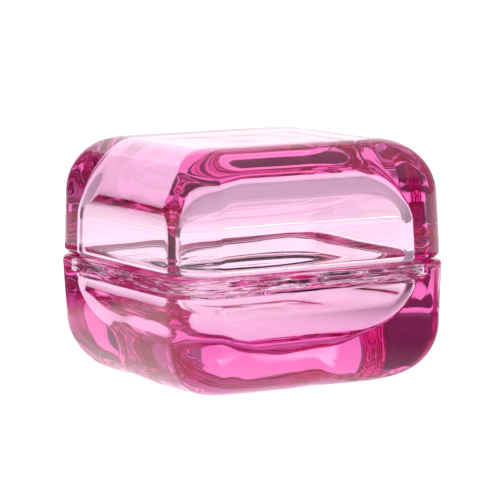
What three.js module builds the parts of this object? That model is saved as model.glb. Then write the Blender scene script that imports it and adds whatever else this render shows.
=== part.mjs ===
// A square box of thick pressed pink glass: a dish, and a lid whose lip drops into a step in
// the dish's rim. Millimetres, +Z up, origin at the centre of the dish's underside.
import * as THREE from "three";

// Outside shape
const DISH_HALF_WIDTH = 30.3;
const LID_HALF_WIDTH = 30.0;
const SEAM_HEIGHT = 24.35;
const TOTAL_HEIGHT = 48.35;
const DISH_DRAFT = 0.035;
const LID_DRAFT = 0.026;
const DISH_FILLET = { across: 11.6, up: 12.0 };
const LID_FILLET = { across: 10.6, up: 11.6 };
const DISH_RIM_RADIUS = 1.0;
const LID_EDGE_RADIUS = 1.4;
const WALL_CORNER = 8.0;
const FLAT_CORNER = 4.0;

// Hollow inside, which the dish and the lid share
const HOLLOW_HALF_WIDTH = 24.5;
const HOLLOW_DRAFT = 0.03;
const HOLLOW_CORNER = 5.0;
const FLOOR_THICKNESS = 8.8;
const CEILING_THICKNESS = 7.8;
const FLOOR_FILLET = { across: 16.0, up: 12.0 };
const CEILING_FILLET = { across: 9.0, up: 9.0 };

// The lid's lip, and the step in the dish's rim that it drops into
const LIP_THICKNESS = 1.6;
const LIP_HEIGHT = 3.2;
const STEP_DEPTH = 3.5;
const LIP_CLEARANCE = 0.3;
const SEAT_GAP = 0.2;
const LIP_EDGE_RADIUS = 0.6;

// Facets in a quarter turn of each kind of curve
const CORNER_FACETS = 8;
const FILLET_FACETS = 10;
const EDGE_FACETS = 3;

const COLUMNS = 4 * (CORNER_FACETS + 1);
const CORNER_SIGNS = [[1, 1], [-1, 1], [-1, -1], [1, -1]];

const pinkGlass = () => new THREE.MeshStandardMaterial({
  color: 0xe88fc0,
  roughness: 0.03,
  metalness: 0.0,
  transparent: true,
  opacity: 0.45,
});

// Points [half width, height] along part of an ellipse. The angles are in quarter turns:
// 0 points away from the axis and 1 points up.
function ellipseArc(half, height, { across, up }, from, to, facets) {
  const points = [];
  for (let i = 0; i <= facets; i++) {
    const angle = (from + ((to - from) * i) / facets) * Math.PI / 2;
    points.push([half + across * Math.cos(angle), height + up * Math.sin(angle)]);
  }
  return points;
}

function roundArc(half, height, radius, from, to) {
  return ellipseArc(half, height, { across: radius, up: radius }, from, to, EDGE_FACETS);
}

// One point on the outline of a square of the given half width with rounded corners.
function roundedSquarePoint(half, corner, column) {
  const quarter = Math.floor(column / (CORNER_FACETS + 1));
  const step = column % (CORNER_FACETS + 1);
  const radius = Math.min(corner, half);
  const angle = (quarter + step / CORNER_FACETS) * Math.PI / 2;
  const [signX, signY] = CORNER_SIGNS[quarter];
  const x = signX * (half - radius) + radius * Math.cos(angle);
  const y = signY * (half - radius) + radius * Math.sin(angle);
  return [x, y];
}

// A lathed solid whose circles are reshaped into rounded squares. cornerAt gives the corner
// radius for each profile point, and the profile starts and ends on the axis.
function squareLathe(profile, cornerAt) {
  const circlePoints = profile.map(([half, height]) => new THREE.Vector2(half, height));
  const geometry = new THREE.LatheGeometry(circlePoints, COLUMNS);
  const position = geometry.attributes.position;
  for (let column = 0; column <= COLUMNS; column++) {
    profile.forEach(([half, height], row) => {
      const corner = cornerAt(half, height, row);
      const [x, y] = roundedSquarePoint(half, corner, column % COLUMNS);
      position.setXYZ(column * profile.length + row, x, y, height);
    });
  }
  geometry.computeVertexNormals();
  return geometry;
}

// The corners of an outside wall tighten through the fillet, from the wall to the flat face.
function outsideCorner(rise) {
  const share = Math.min(Math.max(rise, 0), 1);
  return WALL_CORNER + (FLAT_CORNER - WALL_CORNER) * share * share;
}

// The corners of the lip and its step run parallel to the hollow's own corners.
function insideCorner(half) {
  return HOLLOW_CORNER + Math.max(half - HOLLOW_HALF_WIDTH, 0);
}

function dishGeometry() {
  const filletHalf = DISH_HALF_WIDTH - DISH_DRAFT * (SEAM_HEIGHT - DISH_FILLET.up);
  const stepHalf = HOLLOW_HALF_WIDTH + LIP_THICKNESS + LIP_CLEARANCE;
  const stepHeight = SEAM_HEIGHT - STEP_DEPTH;
  const bowlFilletTop = FLOOR_THICKNESS + FLOOR_FILLET.up;
  const bowlHalf = HOLLOW_HALF_WIDTH - HOLLOW_DRAFT * (stepHeight - bowlFilletTop);
  const rimInner = DISH_HALF_WIDTH - DISH_RIM_RADIUS;
  const rimHeight = SEAM_HEIGHT - DISH_RIM_RADIUS;
  const edge = LIP_EDGE_RADIUS;

  const outside = [
    [0, 0],
    ...ellipseArc(filletHalf - DISH_FILLET.across, DISH_FILLET.up, DISH_FILLET, -1, 0, FILLET_FACETS),
    ...roundArc(rimInner, rimHeight, DISH_RIM_RADIUS, 0, 1),
  ];
  const inside = [
    ...roundArc(stepHalf + edge, SEAM_HEIGHT - edge, edge, 1, 2),
    ...roundArc(stepHalf - edge, stepHeight + edge, edge, 0, -1),
    ...roundArc(HOLLOW_HALF_WIDTH + edge, stepHeight - edge, edge, 1, 2),
    ...ellipseArc(bowlHalf - FLOOR_FILLET.across, bowlFilletTop, FLOOR_FILLET, 0, -1, FILLET_FACETS),
    [0, FLOOR_THICKNESS],
  ];
  const cornerAt = (half, height, row) => (
    row < outside.length ? outsideCorner(1 - height / DISH_FILLET.up) : insideCorner(half)
  );
  return squareLathe([...outside, ...inside], cornerAt);
}

function lidGeometry() {
  const bottom = SEAM_HEIGHT + SEAT_GAP;
  const filletBottom = TOTAL_HEIGHT - LID_FILLET.up;
  const filletHalf = LID_HALF_WIDTH - LID_DRAFT * (filletBottom - bottom);
  const lipHalf = HOLLOW_HALF_WIDTH + LIP_THICKNESS;
  const lipBottom = bottom - LIP_HEIGHT;
  const ceiling = TOTAL_HEIGHT - CEILING_THICKNESS;
  const hollowFilletBottom = ceiling - CEILING_FILLET.up;
  const hollowHalf = HOLLOW_HALF_WIDTH - HOLLOW_DRAFT * (hollowFilletBottom - lipBottom);
  const edgeInner = LID_HALF_WIDTH - LID_EDGE_RADIUS;
  const edge = LIP_EDGE_RADIUS;

  const ceilingHalf = hollowHalf - CEILING_FILLET.across;
  const inside = [
    [0, ceiling],
    ...ellipseArc(ceilingHalf, hollowFilletBottom, CEILING_FILLET, 1, 0, FILLET_FACETS),
    ...roundArc(HOLLOW_HALF_WIDTH + edge, lipBottom + edge, edge, 2, 3),
    ...roundArc(lipHalf - edge, lipBottom + edge, edge, -1, 0),
    ...roundArc(lipHalf + edge, bottom - edge, edge, 2, 1),
  ];
  const outside = [
    ...roundArc(edgeInner, bottom + LID_EDGE_RADIUS, LID_EDGE_RADIUS, -1, 0),
    ...ellipseArc(filletHalf - LID_FILLET.across, filletBottom, LID_FILLET, 0, 1, FILLET_FACETS),
    [0, TOTAL_HEIGHT],
  ];
  const cornerAt = (half, height, row) => (
    row < inside.length ? insideCorner(half) : outsideCorner((height - filletBottom) / LID_FILLET.up)
  );
  return squareLathe([...inside, ...outside], cornerAt);
}

function namedMesh(name, geometry) {
  const mesh = new THREE.Mesh(geometry, pinkGlass());
  mesh.name = name;
  return mesh;
}

const glassBox = new THREE.Group();
glassBox.add(namedMesh("dish", dishGeometry()));
glassBox.add(namedMesh("lid", lidGeometry()));

export default glassBox;
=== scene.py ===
"""A square dish of thick pressed pink glass with its lid, on a white table in soft studio light."""

import math

import bmesh
import bpy
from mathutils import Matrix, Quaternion, Vector, noise


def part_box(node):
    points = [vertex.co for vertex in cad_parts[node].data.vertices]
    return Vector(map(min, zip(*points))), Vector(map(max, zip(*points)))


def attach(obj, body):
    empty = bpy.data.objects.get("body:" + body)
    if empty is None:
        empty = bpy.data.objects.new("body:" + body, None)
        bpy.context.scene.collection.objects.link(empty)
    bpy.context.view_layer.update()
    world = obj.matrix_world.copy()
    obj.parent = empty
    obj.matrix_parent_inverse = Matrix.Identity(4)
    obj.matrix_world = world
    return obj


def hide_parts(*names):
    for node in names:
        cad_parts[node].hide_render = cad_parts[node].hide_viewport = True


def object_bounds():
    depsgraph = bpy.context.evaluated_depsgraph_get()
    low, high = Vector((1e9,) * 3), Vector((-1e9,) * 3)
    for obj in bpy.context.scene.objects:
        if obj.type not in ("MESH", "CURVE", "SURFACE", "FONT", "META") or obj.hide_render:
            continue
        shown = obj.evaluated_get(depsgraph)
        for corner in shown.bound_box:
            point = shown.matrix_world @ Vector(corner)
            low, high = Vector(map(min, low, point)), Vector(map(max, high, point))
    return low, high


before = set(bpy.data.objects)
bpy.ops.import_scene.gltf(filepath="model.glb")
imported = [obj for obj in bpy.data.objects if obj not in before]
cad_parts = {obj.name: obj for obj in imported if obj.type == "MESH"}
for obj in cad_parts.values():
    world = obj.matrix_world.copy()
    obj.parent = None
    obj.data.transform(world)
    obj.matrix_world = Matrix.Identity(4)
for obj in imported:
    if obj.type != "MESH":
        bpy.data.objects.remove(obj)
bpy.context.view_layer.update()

MM = 0.001

# Outside shape: widths and heights come from the frame, and these are its curves
WALL_CORNER = 8.0 * MM
FLAT_CORNER = 4.0 * MM
DISH_DRAFT = 0.035
LID_DRAFT = 0.026
DISH_FILLET = (11.6 * MM, 12.0 * MM)
LID_FILLET = (10.6 * MM, 11.6 * MM)
DISH_RIM_RADIUS = 1.0 * MM
LID_EDGE_RADIUS = 1.4 * MM

# The hollow that the dish and the lid share
HOLLOW_HALF_WIDTH = 24.5 * MM
HOLLOW_DRAFT = 0.03
HOLLOW_CORNER = 5.0 * MM
FLOOR_THICKNESS = 8.8 * MM
CEILING_THICKNESS = 7.8 * MM
FLOOR_FILLET = (16.0 * MM, 12.0 * MM)
CEILING_FILLET = (9.0 * MM, 9.0 * MM)

# How much of a fillet, from the flat face outward, is as wavy as the flat face itself
BASE_WAVES_UP = 0.2
FLOOR_WAVES_ACROSS = 0.2

# The lid's lip, and the step in the dish's rim that it drops into
LIP_THICKNESS = 1.6 * MM
LIP_CLEARANCE = 0.3 * MM
STEP_DEPTH = 3.5 * MM
SEAT_GAP = 0.2 * MM
LIP_EDGE_RADIUS = 0.6 * MM

# Mesh rows and columns
CORNER_COLUMNS = 18
SIDE_COLUMNS = 50
ROW_SPACING = 0.8 * MM
FILLET_ROWS = 22
EDGE_ROWS = 6

# Light lost per metre of glass, for red, green and blue
GLASS_ABSORPTION = (2.0, 30.5, 11.5)
GLASS_IOR = 1.52

# How many finer layers each noise has
STREAK_DETAIL = 2
GRAIN_DETAIL = 3

# Cords in the skin of the glass: their fineness in each direction, strength and depth
CORD_SCALE = (60, 60, 420)
CORD_STRENGTH = 0.08
CORD_DEPTH = 0.05 * MM

# Haze on the polished skin, as roughness, and the part of its noise that shows
HAZE_SCALE = 140
HAZE_NOISE = (0.45, 0.85)
HAZE_ROUGHNESS = (0.0, 0.03)

# Frosting of the joint, as roughness, and the part of its noise that shows
FROST_SCALE = 500
FROST_NOISE = (0.35, 0.65)
FROST_ROUGHNESS = (0.0, 0.12)

# Chill marks that the mould leaves on the joint: their fineness in each direction, strength and depth.
# They fade from the -X and -Y sides, where X or Y is below the first value, to little at the second.
CHILL_SCALE = (70, 70, 650)
CHILL_STRENGTH = 1
CHILL_DEPTH = 2.0 * MM
CHILLED_SIDES = (-24 * MM, -12 * MM)
CHILL_AMOUNT = (1, 0.1)

# Waviness of each kind of surface: how far it swells in and out, and the length of its waves
# along the wall and up it
WAVES = {
    "outside": (0.060 * MM, 20 * MM, 20 * MM),
    "base": (0.28 * MM, 15 * MM, 15 * MM),
    "hollow": (0.045 * MM, 30 * MM, 6 * MM),
    "joint": (0.040 * MM, 6 * MM, 2.5 * MM),
}
FINE_WAVES = 2.3
FINE_WAVE_HEIGHT = 0.35
BROAD_WAVE_ORIGIN = Vector((7.3, 1.9, 4.1))
FINE_WAVE_ORIGIN = Vector((2.7, 8.8, 5.6))

# The camera, which looks at the middle of the joint between the dish and the lid
CAMERA_AZIMUTH = math.radians(-28.0)
CAMERA_ELEVATION = math.radians(7.11)
CAMERA_ROLL = math.radians(-0.91)
CAMERA_DISTANCE = 0.6083
SENSOR_WIDTH = 36.0
LENS = 217.3
SHIFT = (0.0012, 0.0104)
NEAR_CLIP = 0.01

# The table, and the room's light from the horizon up, with the heights that it rises between.
# The room's wall is the pale tone that the camera sees behind the table.
TABLE_SIZE = 4.0
TABLE_COLOUR = 0.5
TABLE_GLOW = 0.9
TABLE_SHEEN = 0.2
TABLE_MOTTLE_SCALE = 40
TABLE_ROUGHNESS = (0.5, 0.7)
TABLE_GAP = 0.3 * MM
ROOM_LIGHT = (0.4, 0.72)
ROOM_LIGHT_RISE = (0.2, 1.0)
ROOM_WALL = 0.95

# A place in the studio is how far to the right of the dish and beyond it, as the camera sees it, and
# a third number is how high. The cloth behind the dish fades between two heights, and its lower half
# hangs below the table. A warm strip of light stands before it. The key light is up on the camera's side.
BACKDROP_PLACE = (-0.15, 0.90)
BACKDROP_SIZE = (0.90, 1.60)
BACKDROP_LIGHT = (1.15, 0.25)
BACKDROP_FADE = (0.45, 1.40)
STRIP_PLACE = (0.02, 0.45, 0.068)
STRIP_SIZE = (0.16, 0.028)
STRIP_COLOUR = (1.0, 1.0, 0.6)
STRIP_LIGHT = 3.0
STRIP_EDGE = 0.1
KEY_PLACE = (0.0, -0.55, 0.42)
KEY_SIZE = (0.8, 0.44)
KEY_COLOUR = (1.0, 1.0, 1.0)
KEY_LIGHT = 0.7
KEY_EDGE = 0.2

# Dusky pink cards that glow dimly. The shade that lies behind the dish and the flags that lie at its sides
# are painted shadow: dark sheets on the table round the dish, seen only in the glass. The flags that stand
# at its sides are dark studio flags. Each flag is at an azimuth in degrees and a distance, and a flag that
# lies on the table also has a length of its own.
# A card's edge value is how far from its middle it starts to thin out, where 0.5 is its rim.
PAINTED_SHADOW_PLACE = (0.0, 0.095)
PAINTED_SHADOW_SIZE = (0.13, 0.07)
STANDING_FLAGS = {"left": (-34.0, 0.26), "right": (152.0, 0.26)}
STANDING_FLAG_SIZE = (0.28, 0.18)
PAINTED_SHADOW_FLAGS = {"left": (-24.0, 0.19, 0.18), "right": (152.0, 0.14, 0.25)}
PAINTED_SHADOW_FLAG_WIDTH = 0.26
LYING_CARD_GAP = 0.1 * MM
FLAG_AND_PAINTED_SHADOW_COLOUR = (1.0, 0.42, 0.7)
FLAG_SHADE = 0.17
FLAG_EDGE = 0.36
CARD_RIM = 0.5

# How often light may pass through glass, and be reflected or pass clear cards, before it is lost
GLASS_BOUNCES = 32
OTHER_BOUNCES = 16


def arc(half, height, across, up, start, end, rows):
    """Points (half width, height) along part of an ellipse. The angles are in quarter turns."""
    points = []
    for i in range(rows + 1):
        angle = (start + (end - start) * i / rows) * math.pi / 2
        points.append((half + across * math.cos(angle), height + up * math.sin(angle)))
    return points


def straight(start, end):
    """Points between two others, which are left out, about ROW_SPACING apart."""
    length = math.dist(start, end)
    rows = max(1, round(length / ROW_SPACING))
    return [
        tuple(a + (b - a) * i / rows for a, b in zip(start, end))
        for i in range(1, rows)
    ]


def joined(*stretches):
    """One profile from several stretches, with straight rows in the gaps between them."""
    profile = list(stretches[0])
    for stretch in stretches[1:]:
        profile += straight(profile[-1], stretch[0])
        profile += stretch
    return profile


def round_edge(half, height, radius, start, end):
    return arc(half, height, radius, radius, start, end, EDGE_ROWS)


def with_corners(profile, corner_at, kind_at):
    """Gives each point of a profile its corner radius and the kind of surface that it is on."""
    return [(half, height, corner_at(half, height), kind_at(half, height)) for half, height in profile]


def outside_corner(half, flat_half, share):
    """The corners of an outside wall tighten through the fillet, then shrink with the flat face's rows."""
    share = min(max(share, 0), 1)
    corner = WALL_CORNER + (FLAT_CORNER - WALL_CORNER) * share * share
    return corner * min(1, half / flat_half)


def hollow_corner(half, flat_half):
    """The hollow's corners keep one radius up to the flat face, where they shrink with its rows."""
    return HOLLOW_CORNER * min(1, half / flat_half)


def joint_corner(half):
    """The corners of the lip and its step run parallel to the hollow's own corners."""
    return HOLLOW_CORNER + max(half - HOLLOW_HALF_WIDTH, 0)


def rounded_square(half, corner, height):
    """One closed row of points round a square with rounded corners."""
    radius = min(corner, half)
    straight_half = half - radius
    points = []
    for quarter in range(4):
        for step in range(CORNER_COLUMNS + 1):
            angle = (quarter + step / CORNER_COLUMNS) * math.pi / 2
            middle = (quarter + 0.5) * math.pi / 2
            x = math.copysign(straight_half, math.cos(middle)) + radius * math.cos(angle)
            y = math.copysign(straight_half, math.sin(middle)) + radius * math.sin(angle)
            points.append(Vector((x, y, height)))
        side = Vector((-math.sin(angle), math.cos(angle), 0)) * straight_half * 2
        corner_end = points[-1].copy()
        for step in range(1, SIDE_COLUMNS):
            points.append(corner_end + side * step / SIDE_COLUMNS)
    return points


def wave_height(point, kind):
    """How far the pressed surface swells at a point: a long smooth wave with a finer one on it."""
    height, along, up = WAVES[kind]
    place = Vector((point.x / along, point.y / along, point.z / up))
    broad = noise.noise(place + BROAD_WAVE_ORIGIN)
    fine = noise.noise(place * FINE_WAVES + FINE_WAVE_ORIGIN)
    return height * (broad + FINE_WAVE_HEIGHT * fine)


def glass_piece(name, profile):
    """A closed solid from rows (half width, height, corner, kind) that start and end on the axis."""
    mesh = bpy.data.meshes.new(name)
    shape = bmesh.new()
    on_joint = shape.verts.layers.float.new("joint")
    rows = []
    kinds = []
    for half, height, corner, kind in profile:
        if half == 0:
            rows.append([shape.verts.new((0, 0, height))])
        else:
            rows.append([shape.verts.new(p) for p in rounded_square(half, corner, height)])
        kinds += [kind] * len(rows[-1])
    for lower, upper in zip(rows, rows[1:]):
        count = max(len(lower), len(upper))
        for i in range(count):
            j = (i + 1) % count
            if len(lower) == 1:
                shape.faces.new((lower[0], upper[i], upper[j]))
            elif len(upper) == 1:
                shape.faces.new((lower[i], upper[0], lower[j]))
            else:
                shape.faces.new((lower[i], upper[i], upper[j], lower[j]))
    bmesh.ops.recalc_face_normals(shape, faces=shape.faces)
    shape.normal_update()
    moves = [v.normal * wave_height(v.co, kind) for v, kind in zip(shape.verts, kinds)]
    for vert, move, kind in zip(shape.verts, moves, kinds):
        vert.co += move
        vert[on_joint] = kind == "joint"
    for face in shape.faces:
        face.smooth = True
    shape.to_mesh(mesh)
    shape.free()
    piece = bpy.data.objects.new(name, mesh)
    bpy.context.scene.collection.objects.link(piece)
    return piece


def make_dish():
    low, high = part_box("dish")
    half, seam = high[0], high[2]
    across, up = DISH_FILLET
    fillet_half = half - DISH_DRAFT * (seam - up)
    base_half = fillet_half - across
    rim = DISH_RIM_RADIUS
    edge = LIP_EDGE_RADIUS
    step_half = HOLLOW_HALF_WIDTH + LIP_THICKNESS + LIP_CLEARANCE
    step_height = seam - STEP_DEPTH
    floor_across, floor_up = FLOOR_FILLET
    fillet_top = FLOOR_THICKNESS + floor_up
    bowl_half = HOLLOW_HALF_WIDTH - HOLLOW_DRAFT * (step_height - fillet_top)
    floor_half = bowl_half - floor_across
    wavy_half = bowl_half - (1 - FLOOR_WAVES_ACROSS) * floor_across

    outside = joined(
        [(0, low[2])],
        arc(base_half, up, across, up, -1, 0, FILLET_ROWS),
        round_edge(half - rim, seam - rim, rim, 0, 1),
    )
    joint = joined(
        round_edge(step_half + edge, seam - edge, edge, 1, 2),
        round_edge(step_half - edge, step_height + edge, edge, 0, -1),
        round_edge(HOLLOW_HALF_WIDTH + edge, step_height - edge, edge, 1, 2),
    )
    bowl = joined(
        [joint[-1]],
        arc(floor_half, fillet_top, floor_across, floor_up, 0, -1, FILLET_ROWS),
        [(0, FLOOR_THICKNESS)],
    )[1:]
    return glass_piece("dish_glass", [
        *with_corners(
            outside,
            lambda a, z: outside_corner(a, base_half, 1 - z / up),
            lambda a, z: "base" if z < BASE_WAVES_UP * up else "outside",
        ),
        *with_corners(joint, lambda a, z: joint_corner(a), lambda a, z: "joint"),
        *with_corners(
            bowl,
            lambda a, z: hollow_corner(a, floor_half),
            lambda a, z: "base" if a < wavy_half else "hollow",
        ),
    ])


def make_lid():
    low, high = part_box("lid")
    half, top = high[0], high[2]
    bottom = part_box("dish")[1][2] + SEAT_GAP
    across, up = LID_FILLET
    fillet_bottom = top - up
    fillet_half = half - LID_DRAFT * (fillet_bottom - bottom)
    lip_bottom = low[2]
    edge = LIP_EDGE_RADIUS
    lip_half = HOLLOW_HALF_WIDTH + LIP_THICKNESS
    outer_edge = LID_EDGE_RADIUS
    ceiling = top - CEILING_THICKNESS
    ceiling_across, ceiling_up = CEILING_FILLET
    hollow_half = HOLLOW_HALF_WIDTH - HOLLOW_DRAFT * (ceiling - ceiling_up - lip_bottom)
    ceiling_half = hollow_half - ceiling_across
    top_half = fillet_half - across

    lip_inside = round_edge(HOLLOW_HALF_WIDTH + edge, lip_bottom + edge, edge, 2, 3)
    hollow = joined(
        [(0, ceiling)],
        arc(ceiling_half, ceiling - ceiling_up, ceiling_across, ceiling_up, 1, 0, FILLET_ROWS),
        lip_inside,
    )[:-len(lip_inside)]
    joint = joined(
        lip_inside,
        round_edge(lip_half - edge, lip_bottom + edge, edge, -1, 0),
        round_edge(lip_half + edge, bottom - edge, edge, 2, 1),
    )
    outside = joined(
        [joint[-1]],
        round_edge(half - outer_edge, bottom + outer_edge, outer_edge, -1, 0),
        arc(top_half, fillet_bottom, across, up, 0, 1, FILLET_ROWS),
        [(0, top)],
    )[1:]
    return glass_piece("lid_glass", [
        *with_corners(hollow, lambda a, z: hollow_corner(a, ceiling_half), lambda a, z: "hollow"),
        *with_corners(joint, lambda a, z: joint_corner(a), lambda a, z: "joint"),
        *with_corners(
            outside,
            lambda a, z: outside_corner(a, top_half, (z - fillet_bottom) / up),
            lambda a, z: "outside",
        ),
    ])


def new_material(name):
    material = bpy.data.materials.new(name)
    material.use_nodes = True
    return material, material.node_tree.nodes, material.node_tree.links


def new_emission_material(name):
    material, nodes, links = new_material(name)
    nodes.remove(nodes["Principled BSDF"])
    return material, nodes, links


def noise_value(nodes, links, place, scale, detail):
    """Noise over a place, as fine as a scale says: one number, or one for each direction."""
    pattern = nodes.new("ShaderNodeTexNoise")
    pattern.inputs["Detail"].default_value = detail
    if isinstance(scale, tuple):
        stretch = nodes.new("ShaderNodeMapping")
        stretch.inputs["Scale"].default_value = scale
        links.new(place, stretch.inputs["Vector"])
        place = stretch.outputs["Vector"]
        scale = 1
    pattern.inputs["Scale"].default_value = scale
    links.new(place, pattern.inputs["Vector"])
    return pattern.outputs["Fac"]


def mapped(nodes, links, value, span, result, smooth=False):
    """A value taken from one span of numbers to another, and held at its ends."""
    change = nodes.new("ShaderNodeMapRange")
    if smooth:
        change.interpolation_type = "SMOOTHSTEP"
    change.inputs["From Min"].default_value, change.inputs["From Max"].default_value = span
    change.inputs["To Min"].default_value, change.inputs["To Max"].default_value = result
    links.new(value, change.inputs["Value"])
    return change.outputs["Result"]


def combined(nodes, links, operation, first, second):
    """Two values taken together by an operation such as MULTIPLY or MINIMUM."""
    result = nodes.new("ShaderNodeMath")
    result.operation = operation
    links.new(first, result.inputs[0])
    links.new(second, result.inputs[1])
    return result.outputs["Value"]


def bumped(nodes, links, height, strength, depth, normal=None):
    """A surface direction that follows a height, on top of another one if there is one."""
    bump = nodes.new("ShaderNodeBump")
    bump.inputs["Strength"].default_value = strength
    bump.inputs["Distance"].default_value = depth
    links.new(height, bump.inputs["Height"])
    if normal is not None:
        links.new(normal, bump.inputs["Normal"])
    return bump.outputs["Normal"]


def split_axes(nodes, links, vector):
    axes = nodes.new("ShaderNodeSeparateXYZ")
    links.new(vector, axes.inputs["Vector"])
    return axes.outputs


def mixed(nodes, links, factor, first, second):
    """A blend of two values. The second may be a plain number."""
    blend = nodes.new("ShaderNodeMix")
    links.new(factor, blend.inputs["Factor"])
    links.new(first, blend.inputs["A"])
    if isinstance(second, float):
        blend.inputs["B"].default_value = second
    else:
        links.new(second, blend.inputs["B"])
    return blend.outputs["Result"]


def pink_glass():
    """Clear pink pressed glass with faint cords and haze, and chill marks and frost on its joint."""
    material, nodes, links = new_material("pink_glass")
    glass = nodes["Principled BSDF"]
    glass.inputs["Base Color"].default_value = (1, 1, 1, 1)
    glass.inputs["Transmission Weight"].default_value = 1
    glass.inputs["IOR"].default_value = GLASS_IOR

    density = max(GLASS_ABSORPTION)
    volume = nodes.new("ShaderNodeVolumeAbsorption")
    volume.inputs["Color"].default_value = (*(1 - loss / density for loss in GLASS_ABSORPTION), 1)
    volume.inputs["Density"].default_value = density
    links.new(volume.outputs["Volume"], nodes["Material Output"].inputs["Volume"])

    place = nodes.new("ShaderNodeTexCoord").outputs["Object"]
    joint = nodes.new("ShaderNodeAttribute")
    joint.attribute_name = "joint"
    sides = split_axes(nodes, links, place)
    farther_out = combined(nodes, links, "MINIMUM", sides["X"], sides["Y"])
    chilled = mapped(nodes, links, farther_out, CHILLED_SIDES, CHILL_AMOUNT)
    chill = combined(nodes, links, "MULTIPLY", chilled, joint.outputs["Fac"])

    cords = noise_value(nodes, links, place, CORD_SCALE, STREAK_DETAIL)
    skin = bumped(nodes, links, cords, CORD_STRENGTH, CORD_DEPTH)
    streaks = noise_value(nodes, links, place, CHILL_SCALE, STREAK_DETAIL)
    marks = combined(nodes, links, "MULTIPLY", streaks, chill)
    surface = bumped(nodes, links, marks, CHILL_STRENGTH, CHILL_DEPTH, skin)
    links.new(surface, glass.inputs["Normal"])

    haze = noise_value(nodes, links, place, HAZE_SCALE, GRAIN_DETAIL)
    polish = mapped(nodes, links, haze, HAZE_NOISE, HAZE_ROUGHNESS)
    grain = noise_value(nodes, links, place, FROST_SCALE, GRAIN_DETAIL)
    frost = mapped(nodes, links, grain, FROST_NOISE, FROST_ROUGHNESS)
    links.new(mixed(nodes, links, chill, polish, frost), glass.inputs["Roughness"])
    return material


def camera_axes():
    """The camera's right and forward directions on the table, and up."""
    forward = Vector((-math.sin(CAMERA_AZIMUTH), math.cos(CAMERA_AZIMUTH), 0))
    right = Vector((math.cos(CAMERA_AZIMUTH), math.sin(CAMERA_AZIMUTH), 0))
    return right, forward, Vector((0, 0, 1))


def make_camera():
    target = Vector((0, 0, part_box("dish")[1][2]))
    _, forward, up = camera_axes()
    reach = math.cos(CAMERA_ELEVATION) * CAMERA_DISTANCE
    place = target - forward * reach + up * math.sin(CAMERA_ELEVATION) * CAMERA_DISTANCE
    data = bpy.data.cameras.new("camera")
    data.sensor_width = SENSOR_WIDTH
    data.lens = LENS
    data.shift_x, data.shift_y = SHIFT
    data.clip_start = NEAR_CLIP
    camera = bpy.data.objects.new("camera", data)
    camera.location = place
    camera.rotation_mode = "QUATERNION"
    look = (target - place).to_track_quat("-Z", "Y")
    camera.rotation_quaternion = look @ Quaternion((0, 0, 1), CAMERA_ROLL)
    bpy.context.scene.collection.objects.link(camera)
    bpy.context.scene.camera = camera


def stage_plane(name, centre, across, along, size, material, seen=False, lights_table=False):
    """A flat sheet of the studio, centred at a point, with its two directions and their lengths."""
    u = across * size[0] / 2
    v = along * size[1] / 2
    mesh = bpy.data.meshes.new(name)
    mesh.from_pydata([-u - v, u - v, u + v, v - u], [], [(0, 1, 2, 3)])
    for corner, place in zip(mesh.uv_layers.new().data, ((0, 0), (1, 0), (1, 1), (0, 1))):
        corner.uv = place
    plane = bpy.data.objects.new(name, mesh)
    plane.location = centre
    plane.data.materials.append(material)
    plane.visible_camera = seen
    plane.visible_diffuse = lights_table
    bpy.context.scene.collection.objects.link(plane)


def table_material():
    """Matt white laminate, lit a little from below, with a faint mottle in its finish."""
    material, nodes, links = new_material("white_table")
    skin = nodes["Principled BSDF"]
    skin.inputs["Base Color"].default_value = (TABLE_COLOUR, TABLE_COLOUR, TABLE_COLOUR, 1)
    skin.inputs["Specular IOR Level"].default_value = TABLE_SHEEN
    skin.inputs["Emission Color"].default_value = (1, 1, 1, 1)
    skin.inputs["Emission Strength"].default_value = TABLE_GLOW
    mottle = nodes.new("ShaderNodeTexNoise")
    mottle.inputs["Scale"].default_value = TABLE_MOTTLE_SCALE
    finish = mapped(nodes, links, mottle.outputs["Fac"], (0, 1), TABLE_ROUGHNESS)
    links.new(finish, skin.inputs["Roughness"])
    return material


def backdrop_material():
    """A lit white cloth that falls off in brightness towards its top."""
    material, nodes, links = new_emission_material("backdrop_cloth")
    place = nodes.new("ShaderNodeTexCoord").outputs["Object"]
    height = split_axes(nodes, links, place)["Z"]
    glow = nodes.new("ShaderNodeEmission")
    glow.inputs["Color"].default_value = (1, 1, 1, 1)
    fade = mapped(nodes, links, height, BACKDROP_FADE, BACKDROP_LIGHT, smooth=True)
    links.new(fade, glow.inputs["Strength"])
    links.new(glow.outputs["Emission"], nodes["Material Output"].inputs["Surface"])
    return material


def soft_card(name, colour, strength, edge):
    """A sheet with an even glow that thins out to nothing round its edges."""
    material, nodes, links = new_emission_material(name)
    centred = nodes.new("ShaderNodeVectorMath")
    centred.operation = "SUBTRACT"
    centred.inputs[1].default_value = (CARD_RIM, CARD_RIM, 0)
    links.new(nodes.new("ShaderNodeTexCoord").outputs["UV"], centred.inputs[0])
    reach = nodes.new("ShaderNodeVectorMath")
    reach.operation = "ABSOLUTE"
    links.new(centred.outputs["Vector"], reach.inputs[0])
    axes = split_axes(nodes, links, reach.outputs["Vector"])
    cover = [
        mapped(nodes, links, axes[axis], (edge, CARD_RIM), (1, 0), smooth=True)
        for axis in ("X", "Y")
    ]
    glow = nodes.new("ShaderNodeEmission")
    glow.inputs["Color"].default_value = (*colour, 1)
    glow.inputs["Strength"].default_value = strength
    clear = nodes.new("ShaderNodeBsdfTransparent")
    blend = nodes.new("ShaderNodeMixShader")
    links.new(combined(nodes, links, "MULTIPLY", *cover), blend.inputs["Fac"])
    links.new(clear.outputs["BSDF"], blend.inputs[1])
    links.new(glow.outputs["Emission"], blend.inputs[2])
    links.new(blend.outputs["Shader"], nodes["Material Output"].inputs["Surface"])
    return material


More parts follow.
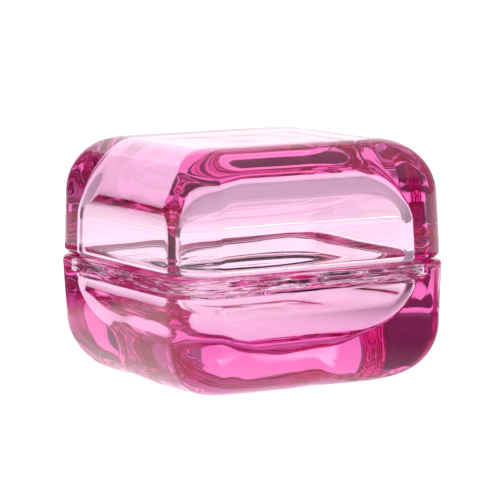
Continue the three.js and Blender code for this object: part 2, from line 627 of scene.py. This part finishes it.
def make_room():
    """Light that is low round the sides and rises to the ceiling, and a pale wall for the camera."""
    world = bpy.data.worlds.new("room")
    world.use_nodes = True
    nodes, links = world.node_tree.nodes, world.node_tree.links
    direction = nodes.new("ShaderNodeTexCoord").outputs["Generated"]
    height = split_axes(nodes, links, direction)["Z"]
    light = mapped(nodes, links, height, ROOM_LIGHT_RISE, ROOM_LIGHT, smooth=True)
    seen = nodes.new("ShaderNodeLightPath").outputs["Is Camera Ray"]
    background = nodes["Background"]
    background.inputs["Color"].default_value = (1, 1, 1, 1)
    links.new(mixed(nodes, links, seen, light, ROOM_WALL), background.inputs["Strength"])
    bpy.context.scene.world = world


def bearing(azimuth):
    """The directions away from the dish and to the side, for an azimuth in degrees from +Y towards +X."""
    angle = math.radians(azimuth)
    away = Vector((math.sin(angle), math.cos(angle), 0))
    side = Vector((math.cos(angle), -math.sin(angle), 0))
    return away, side


def make_studio():
    right, forward, up = camera_axes()
    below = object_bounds()[0][2] - TABLE_GAP
    lying = below + LYING_CARD_GAP

    def place(along, beyond, height):
        return right * along + forward * beyond + up * height

    table_size = (TABLE_SIZE, TABLE_SIZE)
    stage_plane(
        "table", place(0, 0, below), right, forward, table_size, table_material(),
        seen=True, lights_table=True,
    )
    stage_plane(
        "backdrop", place(*BACKDROP_PLACE, below), right, up, BACKDROP_SIZE, backdrop_material(),
        lights_table=True,
    )
    strip = soft_card("light_strip", STRIP_COLOUR, STRIP_LIGHT, STRIP_EDGE)
    stage_plane("light_strip", place(*STRIP_PLACE), right, up, STRIP_SIZE, strip)
    key = soft_card("key", KEY_COLOUR, KEY_LIGHT, KEY_EDGE)
    stage_plane("key", place(*KEY_PLACE), right, up, KEY_SIZE, key, lights_table=True)

    # One dim pink card serves the standing flags and the painted shadow: the shade and the flags that lie
    # on the table.
    card = soft_card("flag_and_painted_shadow_card", FLAG_AND_PAINTED_SHADOW_COLOUR, FLAG_SHADE, FLAG_EDGE)
    # Painted shadow: a dark sheet on the table just behind the dish, seen only in the glass.
    stage_plane("shade", place(*PAINTED_SHADOW_PLACE, lying), right, forward, PAINTED_SHADOW_SIZE, card)
    for name, (azimuth, distance) in STANDING_FLAGS.items():
        away, side = bearing(azimuth)
        centre = away * distance + up * (below + STANDING_FLAG_SIZE[1] / 2)
        stage_plane("standing_flag_" + name, centre, side, up, STANDING_FLAG_SIZE, card)
    # Painted shadow: dark sheets laid on the table at the dish's sides, seen only in the glass.
    for name, (azimuth, distance, length) in PAINTED_SHADOW_FLAGS.items():
        away, side = bearing(azimuth)
        size = (PAINTED_SHADOW_FLAG_WIDTH, length)
        stage_plane("painted_shadow_flag_" + name, away * distance + up * lying, side, away, size, card)


def set_look():
    scene = bpy.context.scene
    scene.view_settings.view_transform = "Standard"
    scene.cycles.max_bounces = GLASS_BOUNCES
    scene.cycles.transmission_bounces = GLASS_BOUNCES
    scene.cycles.glossy_bounces = OTHER_BOUNCES
    scene.cycles.transparent_max_bounces = OTHER_BOUNCES


make_camera()
glass_material = pink_glass()
for piece, node in ((make_dish(), "dish"), (make_lid(), "lid")):
    piece.data.materials.append(glass_material)
    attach(piece, node)
    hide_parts(node)
make_studio()
make_room()
set_look()
